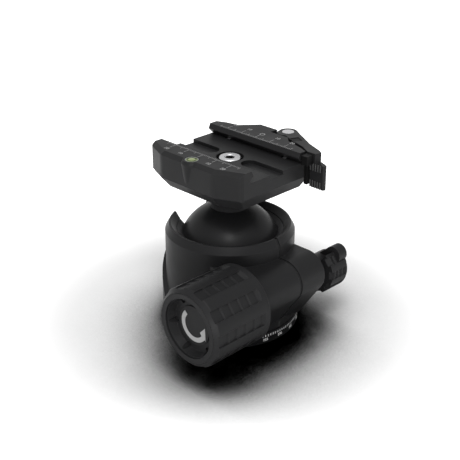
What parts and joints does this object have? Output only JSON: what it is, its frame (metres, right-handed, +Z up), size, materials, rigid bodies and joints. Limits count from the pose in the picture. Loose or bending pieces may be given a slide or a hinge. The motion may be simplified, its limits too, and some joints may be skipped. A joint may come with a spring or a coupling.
{
  "type": "ball head",
  "caption": "Ball head with a split clamping collar, a ribbed side knob, a panning base with a wing lock and a lever-operated dovetail plate clamp.",
  "frame": {"origin": "centre of the tapped hole in the base, on the base's underside", "axes": "+Z up along the panning axis, -X towards the face of the main knob, +Y towards the drop notch in the collar"},
  "size_m": [0.109, 0.0948, 0.0978],
  "materials": {
    "collar_black": "satin",
    "ball_black": "satin",
    "stem_black": "satin",
    "base_black": "satin",
    "ring_black": "satin",
    "knob_black": "satin",
    "recess_black": "satin",
    "arrow_black": "satin",
    "lock_black": "satin",
    "clamp_black": "satin",
    "jaw_black": "satin",
    "lever_black": "satin",
    "button_black": "matte",
    "cup_black": "matte",
    "liner_grey": "matte",
    "pad_rubber": "matte",
    "steel": "satin",
    "pin_steel": "satin",
    "nut_steel": "satin",
    "bronze": "satin",
    "vial_yellow": "gloss"
  },
  "bodies": {
    "base": {"pan_base": "base_black", "base_bush": "steel", "base_pad": "pad_rubber", "scale_ring": "ring_black", "pan_washer": "bronze", "pan_glide": "bronze", "pan_retainer": "nut_steel"},
    "collar": {"housing": "collar_black", "liner_near": "liner_grey", "liner_far": "liner_grey", "disc_spring": "steel", "lower_cup": "liner_grey", "thrust_washer": "bronze", "lock_bush": "bronze"},
    "ball_and_stem": {"ball": "ball_black", "stem": "stem_black", "turn_washer": "bronze"},
    "plate_clamp": {"clamp_body": "clamp_black", "centre_screw": "steel", "level_cup": "cup_black", "level_vial": "vial_yellow", "lever_pin": "pin_steel", "jaw_spring_a": "steel", "jaw_spring_b": "steel"},
    "clamp_knob": {"main_knob": "knob_black", "knob_ring": "knob_black", "knob_cup": "recess_black", "arrow_disc": "arrow_black", "knob_screw": "steel", "clamp_spindle": "steel"},
    "nut": {"draw_nut": "nut_steel"},
    "pan_knob": {"lock_knob": "lock_black", "lock_spindle": "steel", "lock_cap": "lock_black"},
    "brake": {"brake_pin": "steel"},
    "jaw": {"moving_jaw": "jaw_black", "jaw_screw_a": "nut_steel", "jaw_screw_b": "nut_steel"},
    "clamp_lever": {"lever": "lever_black", "latch_button": "button_black", "latch_catch": "button_black"}
  },
  "joints": [
    {"name": "pan", "type": "hinge", "parent": "base", "child": "collar", "pos_m": [0, 0, 0.0064], "axis": [0, 0, 1], "continuous": true},
    {"name": "ball_tilt", "type": "hinge", "parent": "collar", "child": "ball_and_stem", "pos_m": [0, 0, 0.0396], "axis": [1, 0, 0], "range_deg": [-90, 35]},
    {"name": "clamp_turn", "type": "hinge", "parent": "ball_and_stem", "child": "plate_clamp", "pos_m": [0, 0, 0.07805], "axis": [0, 0, 1], "continuous": true},
    {"name": "main_knob_turn", "type": "hinge", "parent": "collar", "child": "clamp_knob", "pos_m": [-0.048, -0.0378, 0.0345], "axis": [1, 0, 0], "range_deg": [0, 270]},
    {"name": "nut_draw", "type": "slide", "parent": "collar", "child": "nut", "axis": [1, 0, 0], "range_m": [-0.00095, 0]},
    {"name": "lock_turn", "type": "hinge", "parent": "collar", "child": "pan_knob", "pos_m": [0.028, -0.0365, 0.0315], "axis": [1, 0, 0], "range_deg": [0, 270]},
    {"name": "brake_slide", "type": "slide", "parent": "collar", "child": "brake", "axis": [0, 0.2924, -0.9563], "range_m": [0, 0.0003]},
    {"name": "lever_swing", "type": "hinge", "parent": "plate_clamp", "child": "clamp_lever", "pos_m": [0.0368, -0.0064, 0.0948], "axis": [0, 0, 1], "range_deg": [0, 90]},
    {"name": "jaw_slide", "type": "slide", "parent": "plate_clamp", "child": "jaw", "axis": [1, 0, 0], "range_m": [0, 0.0018]}
  ],
  "couplings": [
    {"joint": "nut_draw", "follows": "main_knob_turn", "m_per_rad": -0.0002},
    {"joint": "brake_slide", "follows": "lock_turn", "m_per_rad": 0.00006},
    {"joint": "jaw_slide", "follows": "lever_swing", "m_per_rad": 0.00114}
  ]
}
